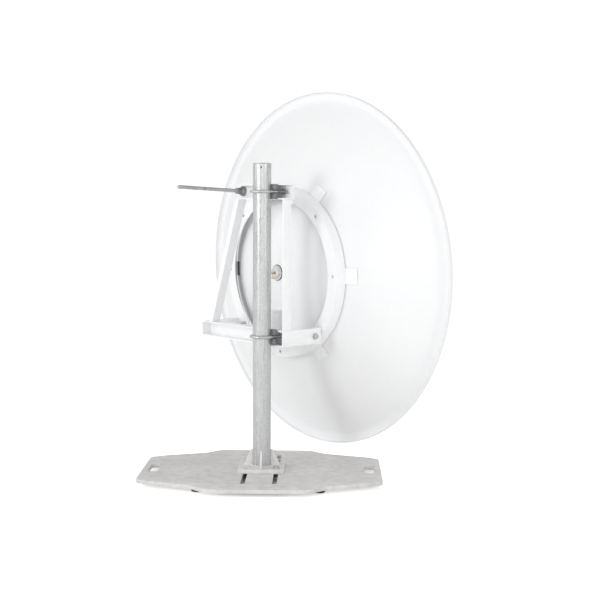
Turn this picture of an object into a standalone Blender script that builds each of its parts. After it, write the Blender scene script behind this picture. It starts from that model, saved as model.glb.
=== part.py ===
"""Offset-mounted satellite dish on a display stand, metres, +Z up, +Y along the boresight.

X = 0 is the dish's centre plane, Z = 0 is the floor. The stand is turned about the mast,
the mount frame is square to the axes, and the dish leans back about its two pivots.
"""
import math

import bmesh
import bpy
from mathutils import Matrix, Vector

# ---------------------------------------------------------------- driving dimensions
GAP = 0.0003                     # between solids that touch
RIM_RADIUS = 0.600               # outside of the rolled lip
RIM_HEIGHT = 0.637               # rim centre above the floor
RIM_Y = 0.262                    # rim centre along the boresight
DISH_TILT = math.radians(1.5)    # boresight above the horizon
STAND_TURN = math.radians(48)    # the stand's long side against the X axis

VERTEX_Y = -0.196                # back of the bowl at its centre, from the rim plane
FOUR_FOCAL = 1.63                # four times the focal length
SKIN = 0.0025                    # bowl thickness
BOWL_EDGE = 0.566                # where the bowl meets the gutter of the rim
HUB_HOLE = 0.022

MAST_X, MAST_Y = 0.149, -0.380   # mast axis from the rim centre
MAST_RADIUS, MAST_WALL = 0.0285, 0.0035
MAST_TOP = RIM_HEIGHT + 0.346

PLATE_THICK, FOOT_HEIGHT = 0.012, 0.0122
PLATE_TOP = FOOT_HEIGHT + GAP + PLATE_THICK
PLATE_HALF_LENGTH, PLATE_END_HALF, PLATE_WIDE_HALF = 0.376, 0.158, 0.266
PLATE_WIDE_FROM = 0.138          # the width starts to narrow here
PLATE_SHOULDER, SHOULDER_HALF = 0.218, 0.214   # and tapers evenly from here to its ends
BOLT_SQUARE = 0.048              # half the mast foot's bolt square
SLOT_HALF, SLOT_WIDTH = 0.197, 0.0145
FOOT_THICK, FOOT_HALF = 0.012, 0.0725
FOOT_TOP = PLATE_TOP + GAP + FOOT_THICK

SHEET = 0.004                    # plate of the mount frame
FRAME_REAR, FRAME_FRONT = -0.350, -0.312
WEB_REAR = FRAME_FRONT - SHEET
ARM_X, ARM_END = 0.215, -0.192   # outside of the pivot arms and their front end
LOWER_Z = (-0.222, -0.172)
UPPER_Z = (0.237, 0.285)
UPPER_X = (-0.055, 0.221)
CLAMP_Z = (-0.191, 0.261)        # height of the two mast clamps
U_LEG = MAST_RADIUS + 0.0055     # legs of a U-bolt from the mast axis
ROD_X = -0.028
LEG_BOLT_X = 0.202

PIVOT_Y, PIVOT_Z = -0.216, -0.197             # elevation pivots from the rim centre
EAR_X = (0.203, 0.207)           # the pivot lugs' ears, inside the arms
PIVOT_IN_DISH = Vector((0, -0.2211, -0.1913))  # the same point in the dish's own axes

RING_REAR, RING_FRONT = -0.189, -0.1515
RING_INNER, RING_OUTER = 0.2427, 0.2830
HOLE_CIRCLE = 0.2656
PIN_IN_DISH = Vector((0, -0.214, HOLE_CIRCLE))
ROD_RISE = math.radians(2.4)     # the rod climbs towards its free end
ROD_LENGTH = 0.3515
CONE = 0.0125                    # length of the tapered washer on the rod
ROD_SLOT = (0.2545, 0.2637)      # heights of the slot's two end centres in the upper bracket

RIM_CENTRE = Vector((0, RIM_Y, RIM_HEIGHT))
BOLT = 0.005                     # M10 shank radius
ROD_RADIUS = 0.006

# ---------------------------------------------------------------- scene and helpers
for old in list(bpy.data.objects):
    bpy.data.objects.remove(old, do_unlink=True)
PARTS = bpy.data.collections.new("satellite_dish")
CUTTERS = bpy.data.collections.new("cutters")
for collection in (PARTS, CUTTERS):
    bpy.context.scene.collection.children.link(collection)
CUTTERS.hide_render = True


def material(name, colour, roughness, metallic):
    made = bpy.data.materials.new(name)
    made.use_nodes = True
    shader = made.node_tree.nodes["Principled BSDF"]
    shader.inputs["Base Color"].default_value = (*colour, 1)
    shader.inputs["Roughness"].default_value = roughness
    shader.inputs["Metallic"].default_value = metallic
    return made


WHITE = material("white_paint", (0.83, 0.84, 0.85), 0.45, 0.0)
CAST = material("cast_zinc", (0.44, 0.43, 0.42), 0.6, 0.5)
GALVANISED = material("galvanised", (0.55, 0.55, 0.54), 0.35, 0.9)
DARK_STEEL = material("dark_steel", (0.16, 0.17, 0.18), 0.45, 0.8)
ZINC = material("zinc", (0.42, 0.42, 0.41), 0.4, 0.9)
RUBBER = material("black_rubber", (0.03, 0.03, 0.03), 0.8, 0.0)
ALUMINIUM = material("aluminium", (0.75, 0.75, 0.74), 0.35, 0.95)
BRASS = material("brass", (0.72, 0.52, 0.2), 0.3, 0.95)
PLASTIC = material("feed_plastic", (0.86, 0.86, 0.84), 0.5, 0.0)


def empty(name, location, rotation=(0, 0, 0), parent=None):
    axis = bpy.data.objects.new(name, None)
    axis.location, axis.rotation_euler, axis.parent = location, rotation, parent
    PARTS.objects.link(axis)
    return axis


def add(name, mesh, finish, parent, at=(0, 0, 0), turn=(0, 0, 0), smooth=True):
    """A part from a mesh: placed under its empty, with its own finish."""
    part = bpy.data.objects.new(name, mesh)
    PARTS.objects.link(part)
    part.parent, part.location, part.rotation_euler = parent, at, turn
    if not mesh.materials:
        mesh.materials.append(finish)
    if smooth:
        mesh.shade_smooth()
        mesh.set_sharp_from_angle(angle=math.radians(35))
    return part


def mesh_of(name, build):
    """A mesh filled by build(bm)."""
    bm = bmesh.new()
    build(bm)
    mesh = bpy.data.meshes.new(name)
    bm.to_mesh(mesh)
    bm.free()
    return mesh


def put_box(bm, low, high, matrix=Matrix()):
    low, high = Vector(low), Vector(high)
    size = Matrix.Diagonal((*(high - low), 1))
    bmesh.ops.create_cube(bm, size=1, matrix=matrix @ Matrix.Translation((low + high) / 2) @ size)


def put_round(bm, radius, start, end, sides):
    """A cylinder between two points."""
    start, end = Vector(start), Vector(end)
    along = end - start
    place = Matrix.Translation((start + end) / 2) @ along.to_track_quat("Z", "Y").to_matrix().to_4x4()
    bmesh.ops.create_cone(bm, cap_ends=True, segments=sides, radius1=radius, radius2=radius,
                          depth=along.length, matrix=place)


def boxes(name, *pairs):
    def build(bm):
        for low, high in pairs:
            put_box(bm, low, high)
    return mesh_of(name, build)


def rounds(name, *items, sides=16):
    def build(bm):
        for radius, start, end in items:
            put_round(bm, radius, start, end, sides)
    return mesh_of(name, build)


def cutter(name, mesh, parent, at=(0, 0, 0)):
    tool = bpy.data.objects.new(name, mesh)
    CUTTERS.objects.link(tool)
    tool.parent, tool.location = parent, at
    tool.hide_render, tool.display_type = True, "WIRE"
    return tool


def boolean(part, operation, tool):
    step = part.modifiers.new(operation.lower(), "BOOLEAN")
    step.operation, step.solver, step.object = operation, "EXACT", tool


def evaluated(body):
    """The mesh that an object's curve or modifiers make, welded; the object is removed."""
    mesh = bpy.data.meshes.new_from_object(body.evaluated_get(bpy.context.evaluated_depsgraph_get()))
    mesh.name = body.name
    bpy.data.objects.remove(body, do_unlink=True)
    bm = bmesh.new()
    bm.from_mesh(mesh)
    bmesh.ops.remove_doubles(bm, verts=bm.verts, dist=0.00001)
    bm.to_mesh(mesh)
    bm.free()
    return mesh


def turned(name, profile, steps=48):
    """A closed or axis-to-axis profile of (radius, height) turned about Z."""
    mesh = bpy.data.meshes.new(name)
    on_axis = profile[0][0] == 0
    count = len(profile)
    edges = [(i, i + 1) for i in range(count - 1)] + ([] if on_axis else [(count - 1, 0)])
    mesh.from_pydata([(r, 0, z) for r, z in profile], edges, [])
    body = bpy.data.objects.new(name, mesh)
    screw = body.modifiers.new("turn", "SCREW")
    screw.axis, screw.angle = "Z", 2 * math.pi
    screw.steps = screw.render_steps = steps
    screw.use_merge_vertices, screw.merge_threshold = True, 0.00001
    PARTS.objects.link(body)
    return evaluated(body)


def plate(name, outlines, thickness):
    """A flat plate in XY, centred on Z = 0, from an outline and the holes in it."""
    curve = bpy.data.curves.new(name, "CURVE")
    curve.dimensions, curve.fill_mode, curve.extrude = "2D", "BOTH", thickness / 2
    for points in outlines:
        spline = curve.splines.new("POLY")
        spline.points.add(len(points) - 1)
        for point, (x, y) in zip(spline.points, points):
            point.co = (x, y, 0, 1)
        spline.use_cyclic_u = True
    body = bpy.data.objects.new(name, curve)
    PARTS.objects.link(body)
    return evaluated(body)


def arc(centre, radius, start, end, steps):
    return [(centre[0] + radius * math.cos(math.radians(start + (end - start) * i / steps)),
             centre[1] + radius * math.sin(math.radians(start + (end - start) * i / steps)))
            for i in range(steps + 1)]


def circle(centre, radius, steps=16):
    return arc(centre, radius, 0, 360, steps)[:-1]


def rounded(half_x, half_y, radius, centre=(0, 0), steps=4):
    """A rectangle with round corners."""
    points = []
    for sx, sy, start in ((1, 1, 0), (-1, 1, 90), (-1, -1, 180), (1, -1, 270)):
        corner = (centre[0] + sx * (half_x - radius), centre[1] + sy * (half_y - radius))
        points += arc(corner, radius, start, start + 90, steps)
    return points


def prism(name, radius, low, high, sides=16):
    return mesh_of(name, lambda bm: put_round(bm, radius, (0, 0, low), (0, 0, high), sides))


def baked(name, main, *steps):
    """The mesh that Boolean steps leave of a mesh, for pieces that are used several times."""
    made = [bpy.data.objects.new(name, main)]
    PARTS.objects.link(made[0])
    for operation, mesh in steps:
        made.append(cutter(name, mesh, None))
        boolean(made[0], operation, made[-1])
    result = evaluated(made[0])
    for tool in made[1:]:
        bpy.data.objects.remove(tool, do_unlink=True)
    return result


def bolt(across, head, collar_radius, collar, shank, length):
    """A hex bolt with a flange: the flange rests on Z = 0 and the shank runs down."""
    return baked("bolt", prism("head", across / math.sqrt(3), collar / 2, collar + head, 6),
                 ("UNION", prism("collar", collar_radius, 0, collar)),
                 ("UNION", prism("shank", shank, -length, collar / 2, 12)))


def nut(across, height, collar_radius, collar, bore):
    """A hex nut with a flange that rests on Z = 0."""
    return baked("nut", prism("body", across / math.sqrt(3), collar / 2, collar + height, 6),
                 ("UNION", prism("collar", collar_radius, 0, collar)),
                 ("DIFFERENCE", prism("bore", bore, -0.001, collar + height + 0.001, 12)))


def fix(name, mesh, finish, parent, at, out):
    """A fastener whose local Z points along out, away from the face that it clamps."""
    turn = Vector(out).to_track_quat("Z", "Y").to_euler()
    return add(name, mesh, finish, parent, at, turn, smooth=False)


# ---------------------------------------------------------------- stand
MAST_FOOT = Vector((MAST_X, RIM_Y + MAST_Y, 0))
STAND = empty("stand_axis", MAST_FOOT, (0, 0, STAND_TURN))


def plate_half_width(u):
    """Half width of the base plate: wide in the middle, then shoulders, then a long taper."""
    if abs(u) <= PLATE_WIDE_FROM:
        return PLATE_WIDE_HALF
    if abs(u) <= PLATE_SHOULDER:
        t = (abs(u) - PLATE_WIDE_FROM) / (PLATE_SHOULDER - PLATE_WIDE_FROM)
        return SHOULDER_HALF + (PLATE_WIDE_HALF - SHOULDER_HALF) * (1 + math.cos(math.pi * t)) / 2
    t = (abs(u) - PLATE_SHOULDER) / (PLATE_HALF_LENGTH - PLATE_SHOULDER)
    return SHOULDER_HALF + (PLATE_END_HALF - SHOULDER_HALF) * t


def base_plate():
    corner, steps = 0.018, 18
    last = PLATE_HALF_LENGTH - corner
    side = [PLATE_WIDE_FROM + (last - PLATE_WIDE_FROM) * i / steps for i in range(steps + 1)]
    upper = [(u, plate_half_width(u)) for u in side[:-1]]
    upper += list(reversed(arc((last, PLATE_END_HALF - corner), corner, 0, 90, 4)))
    outline = upper + [(u, -v) for u, v in reversed(upper)]
    outline += [(-u, -v) for u, v in upper] + [(-u, v) for u, v in reversed(upper)]
    slots = [rounded(SLOT_WIDTH / 2, SLOT_HALF, SLOT_WIDTH / 2 - 0.0001, (s * BOLT_SQUARE, 0))
             for s in (-1, 1)]
    hands = [rounded(0.016, 0.0485, 0.012, (s * 0.340, 0)) for s in (-1, 1)]
    mesh = plate("base_plate", [outline, *slots, *hands], PLATE_THICK)
    add("base_plate", mesh, CAST, STAND, (0, 0, PLATE_TOP - PLATE_THICK / 2), smooth=False)


def rubber_feet():
    profile = [(0, FOOT_HEIGHT), (0.0145, FOOT_HEIGHT), (0.0165, FOOT_HEIGHT - 0.002),
               (0.017, 0.0025), (0.0155, 0), (0, 0)]
    mesh = turned("rubber_foot", profile, 16)
    for i, (su, sv) in enumerate(((-1, -1), (1, -1), (1, 1), (-1, 1))):
        add(f"rubber_foot_{i + 1}", mesh, RUBBER, STAND, (su * 0.184, sv * 0.190, 0))


def mast_foot():
    """The mast's square flange with its four gussets, and the bolts through the plate's slots."""
    corners = [(su * BOLT_SQUARE, sv * BOLT_SQUARE) for su in (-1, 1) for sv in (-1, 1)]
    outline = rounded(FOOT_HALF, FOOT_HALF, 0.006)
    mesh = plate("mast_foot", [outline] + [circle(c, 0.0065) for c in corners], FOOT_THICK)
    foot = add("mast_foot", mesh, CAST, STAND, (0, 0, FOOT_TOP - FOOT_THICK / 2), smooth=False)
    inner = MAST_RADIUS + GAP
    side = [(inner, -0.002), (0.056, -0.002), (0.056, 0.006), (0.034, 0.050), (inner, 0.050)]
    gusset = plate("gusset", [side], 0.006)
    for i in range(4):
        piece = cutter(f"gusset_{i + 1}", gusset, STAND, (0, 0, FOOT_TOP))
        piece.rotation_euler = (math.pi / 2, 0, i * math.pi / 2)
        boolean(foot, "UNION", piece)
    foot_bolt = bolt(0.016, 0.0064, 0.0105, 0.002, BOLT, 0.0348)
    foot_nut = nut(0.016, 0.008, 0.0125, 0.0015, BOLT + GAP)
    under = PLATE_TOP - PLATE_THICK - GAP
    for i, (su, sv) in enumerate(((1, -1), (1, 1), (-1, 1))):
        u, v = su * BOLT_SQUARE, sv * BOLT_SQUARE
        fix(f"foot_bolt_{i + 1}", foot_bolt, ZINC, STAND, (u, v, FOOT_TOP + GAP), (0, 0, 1))
        fix(f"foot_nut_{i + 1}", foot_nut, ZINC, STAND, (u, v, under), (0, 0, -1))


def mast():
    bottom, inner = FOOT_TOP + GAP, MAST_RADIUS - MAST_WALL
    profile = [(MAST_RADIUS, MAST_TOP), (MAST_RADIUS, bottom), (inner, bottom), (inner, MAST_TOP)]
    tube = add("mast_tube", turned("mast_tube", profile, 32), GALVANISED, STAND)
    drill = cutter("mast_drill", rounds("mast_drill", (0.0038, (0, -0.05, MAST_TOP - 0.012),
                                                       (0, 0.05, MAST_TOP - 0.012))), STAND)
    boolean(tube, "DIFFERENCE", drill)
    top = MAST_TOP + GAP
    cap = [(0, top + 0.003), (MAST_RADIUS - 0.002, top + 0.003), (MAST_RADIUS, top + 0.0015),
           (MAST_RADIUS, top), (inner - GAP, top), (inner - GAP, top - 0.007), (0, top - 0.007)]
    add("mast_cap", turned("mast_cap", cap, 32), RUBBER, STAND)


# ---------------------------------------------------------------- mount frame
FRAME = empty("mast_axis", MAST_FOOT)
FRAME_AT = RIM_CENTRE - MAST_FOOT


def frame_part(name, mesh, finish=WHITE, **options):
    return add(name, mesh, finish, FRAME, FRAME_AT, **options)


def joined(name, main, extras, holes=()):
    """A frame part welded from boxes, with holes drilled through it."""
    part = frame_part(name, main, smooth=False)
    for i, extra in enumerate(extras):
        boolean(part, "UNION", cutter(f"{name}_piece_{i}", extra, FRAME, FRAME_AT))
    if holes:
        boolean(part, "DIFFERENCE", cutter(f"{name}_drill", rounds(name, *holes), FRAME, FRAME_AT))
    return part


def clamp_holes(z):
    return [(BOLT + 2 * GAP, (MAST_X + s * U_LEG, WEB_REAR - 0.01, z),
             (MAST_X + s * U_LEG, FRAME_FRONT + 0.01, z)) for s in (-1, 1)]


def lower_bracket():
    low, high = LOWER_Z
    web = boxes("lower_web", ((-ARM_X, WEB_REAR, low), (ARM_X, FRAME_FRONT, high)))
    arms = [boxes("arm", ((x, FRAME_REAR, low), (x + SHEET, ARM_END, high)))
            for x in (-ARM_X, ARM_X - SHEET)]
    inner, inner_x = ARM_X - SHEET / 2, ARM_X - SHEET - GAP
    lips = [boxes("lip", ((-inner, FRAME_REAR, z), (inner, WEB_REAR + SHEET / 2, z + SHEET)))
            for z in (low, high - SHEET)]
    gusset = slanted("foot_gusset", [(0.094, high - SHEET / 2), (inner_x, high - SHEET / 2),
                                     (inner_x, -0.106), (0.112, -0.116)], WEB_REAR, FRAME_FRONT)
    small = [(0.003, (0.140, WEB_REAR - 0.01, z), (0.140, FRAME_FRONT + 0.01, z))
             for z in (-0.124, -0.146)]
    pivots = [(BOLT + GAP, (s * 0.205, PIVOT_Y, PIVOT_Z), (s * 0.225, PIVOT_Y, PIVOT_Z))
              for s in (-1, 1)]
    joined("lower_bracket", web, arms + lips + [gusset], clamp_holes(CLAMP_Z[0]) + pivots + small)


def upper_bracket():
    low, high = UPPER_Z
    left, right = UPPER_X
    web = boxes("upper_web", ((left, WEB_REAR, low), (right, FRAME_FRONT, high)))
    lips = [boxes("lip", ((left + 0.034, FRAME_REAR, z), (right, WEB_REAR + SHEET / 2, z + SHEET)))
            for z in (low, high - SHEET)]
    ends = [(0.007, (ROD_X, WEB_REAR - 0.01, z), (ROD_X, FRAME_FRONT + 0.01, z)) for z in ROD_SLOT]
    bolt_hole = [(0.0043, (LEG_BOLT_X, WEB_REAR - 0.01, CLAMP_Z[1]),
                  (LEG_BOLT_X, FRAME_FRONT + 0.01, CLAMP_Z[1]))]
    part = joined("upper_bracket", web, lips, clamp_holes(CLAMP_Z[1]) + bolt_hole)
    middle = boxes("rod_slot", ((ROD_X - 0.007, WEB_REAR - 0.01, ROD_SLOT[0]),
                                (ROD_X + 0.007, FRAME_FRONT + 0.01, ROD_SLOT[1])))
    boolean(part, "DIFFERENCE", cutter("rod_slot", middle, FRAME, FRAME_AT))
    boolean(part, "DIFFERENCE", cutter("rod_slot_ends", rounds("rod_slot_ends", *ends), FRAME, FRAME_AT))


def slanted(name, points, y_from, y_to):
    """A flat piece drawn in XZ and as deep as two Y planes."""
    mesh = plate(name, [points], y_to - y_from)
    mesh.transform(Matrix.Translation((0, (y_from + y_to) / 2, 0)) @ Matrix.Rotation(math.pi / 2, 4, "X"))
    return mesh


def legs():
    low, high = LOWER_Z[1] + GAP, UPPER_Z[0] - GAP
    slope, thick, lip = 0.358, SHEET * 1.062, 0.016

    def edge(z):
        return -0.010 - (0.235 - z) * slope

    def strip(left, right):
        return [(edge(low) + left, low), (edge(low) + right, low),
                (edge(high) + right, high), (edge(high) + left, high)]
    side = slanted("left_leg", strip(-thick, 0), FRAME_REAR, -0.318)
    flange = slanted("left_lip", strip(-thick - lip, -thick / 2), FRAME_REAR, FRAME_REAR + SHEET)
    joined("left_leg", side, [flange])
    inner = ARM_X - SHEET
    side = boxes("right_leg", ((inner, FRAME_REAR, low), (ARM_X, -0.318, high)))
    flange = boxes("right_lip", ((0.185, -0.322, -0.100), (ARM_X - SHEET / 2, -0.318, high)))
    tab_rear = FRAME_FRONT + GAP
    tab = boxes("right_tab", ((0.193, tab_rear, 0.222), (inner, tab_rear + SHEET, 0.276)))
    step = boxes("right_step", ((0.193, -0.320, 0.222), (inner + SHEET / 2, tab_rear + SHEET / 2, high)))
    hole = [(0.0043, (LEG_BOLT_X, -0.320, CLAMP_Z[1]), (LEG_BOLT_X, -0.300, CLAMP_Z[1]))]
    joined("right_leg", side, [flange, step, tab], hole)


def mast_clamps():
    """Two U-bolts round the mast, each with its curved, side-notched saddle and nuts."""
    saddle_rear, saddle_front, half_height, half_width = -0.366, FRAME_REAR - GAP, 0.0225, 0.042
    mast_at = (MAST_X, MAST_Y)
    reach = MAST_RADIUS + GAP
    mouth = math.degrees(math.acos((saddle_rear - MAST_Y) / reach))
    hollow = arc(mast_at, reach, 90 + mouth, 90 - mouth, 10)
    outline = [(MAST_X - half_width, saddle_rear), *hollow, (MAST_X + half_width, saddle_rear),
               (MAST_X + half_width, saddle_front), (MAST_X - half_width, saddle_front)]
    front_end = -0.303
    path = [(MAST_X - U_LEG, front_end), (MAST_X - U_LEG, -0.34), *arc(mast_at, U_LEG, 180, 360, 16),
            (MAST_X + U_LEG, -0.34), (MAST_X + U_LEG, front_end)]
    for place, z in zip(("lower", "upper"), CLAMP_Z):
        block = plate(f"saddle_{place}", [outline], 2 * half_height)
        block.transform(Matrix.Translation((0, 0, z)))
        part = frame_part(f"saddle_{place}", block, DARK_STEEL, smooth=False)
        drill = rounds("saddle_drill", *[(BOLT + GAP, (MAST_X + s * U_LEG, -0.380, z),
                                          (MAST_X + s * U_LEG, -0.330, z)) for s in (-1, 1)])
        boolean(part, "DIFFERENCE", cutter(f"saddle_drill_{place}", drill, FRAME, FRAME_AT))
        reach_out = half_width + 0.01
        notches = boxes("saddle_notches", *[
            ((MAST_X + min(s * U_LEG, s * reach_out), -0.380, z - BOLT - GAP),
             (MAST_X + max(s * U_LEG, s * reach_out), -0.330, z + BOLT + GAP)) for s in (-1, 1)])
        boolean(part, "DIFFERENCE", cutter(f"saddle_notch_{place}", notches, FRAME, FRAME_AT))
        bent = wire(f"u_bolt_{place}", [(x, y, z) for x, y in path], BOLT)
        frame_part(f"u_bolt_{place}", bent, ZINC)
    clamp_nut = nut(0.014, 0.008, 0.0082, 0.0010, BOLT + GAP)
    places = [(f"{row}_{side}", MAST_X + s * U_LEG, z) for row, z in zip(("lower", "upper"), CLAMP_Z)
              for side, s in (("left", -1), ("right", 1))]
    for name, x, z in places:
        for depth, face, way in (("rear", WEB_REAR, -1), ("front", FRAME_FRONT, 1)):
            fix(f"clamp_nut_{name}_{depth}", clamp_nut, ZINC, FRAME,
                FRAME_AT + Vector((x, face + way * GAP, z)), (0, way, 0))


def wire(name, points, radius):
    """A round wire along points, with closed ends."""
    curve = bpy.data.curves.new(name, "CURVE")
    curve.dimensions, curve.bevel_depth, curve.bevel_resolution = "3D", radius, 2
    curve.use_fill_caps = True
    spline = curve.splines.new("POLY")
    spline.points.add(len(points) - 1)
    for point, place in zip(spline.points, points):
        point.co = (*place, 1)
    body = bpy.data.objects.new(name, curve)
    PARTS.objects.link(body)
    return evaluated(body)


def frame_bolts():
    """The bolt through the right leg's tab, and the two elevation pivots with their spacers."""
    fix("leg_bolt", bolt(0.013, 0.0053, 0.008, 0.0012, 0.004, 0.018), ZINC, FRAME,
        FRAME_AT + Vector((LEG_BOLT_X, WEB_REAR - GAP, CLAMP_Z[1])), (0, -1, 0))
    fix("leg_nut", nut(0.013, 0.0055, 0.0085, 0.0012, 0.004 + GAP), ZINC, FRAME,
        FRAME_AT + Vector((LEG_BOLT_X, FRAME_FRONT + SHEET + 2 * GAP, CLAMP_Z[1])), (0, 1, 0))
    pivot_bolt = bolt(0.016, 0.0064, 0.0105, 0.0015, BOLT, 0.026)
    pivot_nut = nut(0.016, 0.008, 0.009, 0.0012, BOLT + GAP)
    spacer = plate("pivot_spacer", [circle((0, 0), 0.010, 24), circle((0, 0), BOLT + GAP)],
                   ARM_X - SHEET - EAR_X[1] - 2 * GAP)
    for side, s in (("left", -1), ("right", 1)):
        for name, mesh, x in (("bolt", pivot_bolt, ARM_X + GAP), ("nut", pivot_nut, EAR_X[0] - GAP),
                              ("spacer", spacer, (ARM_X - SHEET + EAR_X[1]) / 2)):
            out = -s if name == "nut" else s
            fix(f"pivot_{name}_{side}", mesh, ZINC, FRAME,
                FRAME_AT + Vector((s * x, PIVOT_Y, PIVOT_Z)), (out, 0, 0))


# ---------------------------------------------------------------- dish
DISH = empty("dish_axis", RIM_CENTRE + Vector((0, PIVOT_Y, PIVOT_Z)), (DISH_TILT, 0, 0))
DISH_AT = -PIVOT_IN_DISH
FORWARD = (-math.pi / 2, 0, 0)   # turns a profile's height onto the boresight


def dish_part(name, mesh, finish, turned_piece=False, **options):
    turn = FORWARD if turned_piece else (0, 0, 0)
    return add(name, mesh, finish, DISH, DISH_AT, turn, **options)


def bowl_back(radius):
    return VERTEX_Y + radius ** 2 / FOUR_FOCAL


def reflector():
    """One spun skin: bowl, flat gutter and a lip rolled to the rear."""
    stations = [HUB_HOLE + (BOWL_EDGE - HUB_HOLE) * i / 9 for i in range(10)]
    front, back = [], []
    for r in stations:
        lean = math.atan(2 * r / FOUR_FOCAL)
        back.append((r, bowl_back(r)))
        front.append((r - SKIN * math.sin(lean), bowl_back(r) + SKIN * math.cos(lean)))
    floor, lip_end = 0.003, -0.012
    gutter = [(BOWL_EDGE + 0.004, floor - 0.001), (RIM_RADIUS - 0.006, floor),
              (RIM_RADIUS - SKIN, floor - 0.003), (RIM_RADIUS - SKIN, lip_end)]
    face = [(RIM_RADIUS, lip_end), (RIM_RADIUS, floor - 0.001), (RIM_RADIUS - 0.003, floor + SKIN),
            (BOWL_EDGE + 0.001, floor + SKIN)]
    profile = list(reversed(face)) + list(reversed(gutter)) + list(reversed(back)) + front
    dish_part("reflector", turned("reflector", profile, 56), WHITE, turned_piece=True)


def mounting_ring():
    """An angle ring with six feet bent out onto the bowl and eight bolt holes."""
    wall = 0.003
    profile = [(RING_OUTER + 0.0018, RING_FRONT), (RING_OUTER, RING_REAR), (RING_INNER, RING_REAR),
               (RING_INNER, RING_REAR + wall), (RING_OUTER - wall, RING_REAR + wall),
               (RING_OUTER + 0.0018 - wall, RING_FRONT)]
    ring = dish_part("mounting_ring", turned("mounting_ring", profile, 48), WHITE, turned_piece=True)

    def risers(bm):
        for i in range(6):
            spin = Matrix.Rotation(math.pi * i / 3, 4, "Y")
            put_box(bm, (RING_OUTER - 0.0032, RING_FRONT - 0.006, -0.0248),
                    (RING_OUTER + 0.0012, bowl_back(RING_OUTER) - 0.0022, 0.0248), spin)

    def feet(bm):
        for i in range(6):
            spin = Matrix.Rotation(math.pi * i / 3, 4, "Y")
            middle = 0.303
            lean = math.atan(2 * middle / FOUR_FOCAL)
            place = Matrix.Translation((middle, bowl_back(middle) - 0.0022, 0))
            tip = Matrix.Rotation(lean, 4, "Z")
            put_box(bm, (-0.0215, -0.00125, -0.025), (0.020, 0.00125, 0.025), spin @ place @ tip)
    for name, build in (("ring_risers", risers), ("ring_feet", feet)):
        boolean(ring, "UNION", cutter(name, mesh_of(name, build), DISH, DISH_AT))
    drill = [(0.0055, ring_hole(i, RING_REAR - 0.01), ring_hole(i, RING_REAR + 0.02)) for i in range(8)]
    boolean(ring, "DIFFERENCE", cutter("ring_drill", rounds("ring_drill", *drill), DISH, DISH_AT))


def ring_hole(number, y):
    angle = math.pi * number / 4
    return Vector((HOLE_CIRCLE * math.cos(angle), y, HOLE_CIRCLE * math.sin(angle)))


LUG = 0.004                      # plate of the lugs on the ring
LUG_REAR = RING_REAR - GAP - LUG
EYE_HALF = 0.0062                # half the width of the rod's eye in the fork


def lugs():
    """Angle lugs on the ring: two for the pivots and a fork for the rod."""
    y, z = PIVOT_IN_DISH.y, PIVOT_IN_DISH.z
    for side, s in (("left", -1), ("right", 1)):
        def ordered(a, b):
            return (min(s * a, s * b), max(s * a, s * b))
        x0, x1 = ordered(0.168, EAR_X[1])
        base = boxes("lug", ((x0, LUG_REAR, z - 0.020), (x1, LUG_REAR + LUG, z + 0.024)))
        part = dish_part(f"pivot_lug_{side}", base, WHITE, smooth=False)
        e0, e1 = ordered(*EAR_X)
        blade = boxes("ear", ((e0, y, z - 0.015), (e1, LUG_REAR + LUG / 2, z + 0.015)))
        end = rounds("ear_end", (0.015, (e0, y, z), (e1, y, z)))
        boolean(part, "UNION", cutter(f"ear_{side}", blade, DISH, DISH_AT))
        boolean(part, "UNION", cutter(f"ear_end_{side}", end, DISH, DISH_AT))
        hole = ring_hole(7 if s > 0 else 5, 0)
        drill = rounds("lug_drill", (BOLT + GAP, (e0 - 0.01, y, z), (e1 + 0.01, y, z)),
                       (BOLT + GAP, (hole.x, LUG_REAR - 0.01, hole.z), (hole.x, LUG_REAR + 0.02, hole.z)))
        boolean(part, "DIFFERENCE", cutter(f"lug_drill_{side}", drill, DISH, DISH_AT))
    y, z = PIN_IN_DISH.y, PIN_IN_DISH.z
    inner, outer = EYE_HALF + GAP, EYE_HALF + GAP + LUG
    base = boxes("clevis", ((ROD_X - outer, LUG_REAR, z - 0.018), (0.014, LUG_REAR + LUG, z + 0.018)))
    part = dish_part("rod_clevis", base, WHITE, smooth=False)
    for i, x in enumerate((ROD_X - outer, ROD_X + inner)):
        arm = boxes("fork", ((x, y, z - 0.012), (x + LUG, LUG_REAR + LUG / 2, z + 0.012)))
        end = rounds("fork_end", (0.012, (x, y, z), (x + LUG, y, z)))
        boolean(part, "UNION", cutter(f"fork_{i}", arm, DISH, DISH_AT))
        boolean(part, "UNION", cutter(f"fork_end_{i}", end, DISH, DISH_AT))
    drill = rounds("clevis_drill", (0.0043, (ROD_X - 0.02, y, z), (ROD_X + 0.02, y, z)),
                   (BOLT + GAP, (0, LUG_REAR - 0.01, z), (0, LUG_REAR + 0.02, z)))
    boolean(part, "DIFFERENCE", cutter("clevis_drill", drill, DISH, DISH_AT))
    fix("clevis_pin", bolt(0.012, 0.004, 0.0065, 0.001, 0.004, 0.026), ZINC, DISH,
        DISH_AT + Vector((ROD_X - outer - GAP, y, z)), (-1, 0, 0))


def ring_bolts():
    """The bolts that hold the lugs, screwed into the ring."""
    screw = bolt(0.016, 0.0064, 0.0095, 0.0015, BOLT, 0.013)
    for name, number in (("top", 2), ("left", 5), ("right", 7)):
        fix(f"ring_bolt_{name}", screw, ZINC, DISH, DISH_AT + ring_hole(number, LUG_REAR - GAP), (0, -1, 0))


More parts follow.
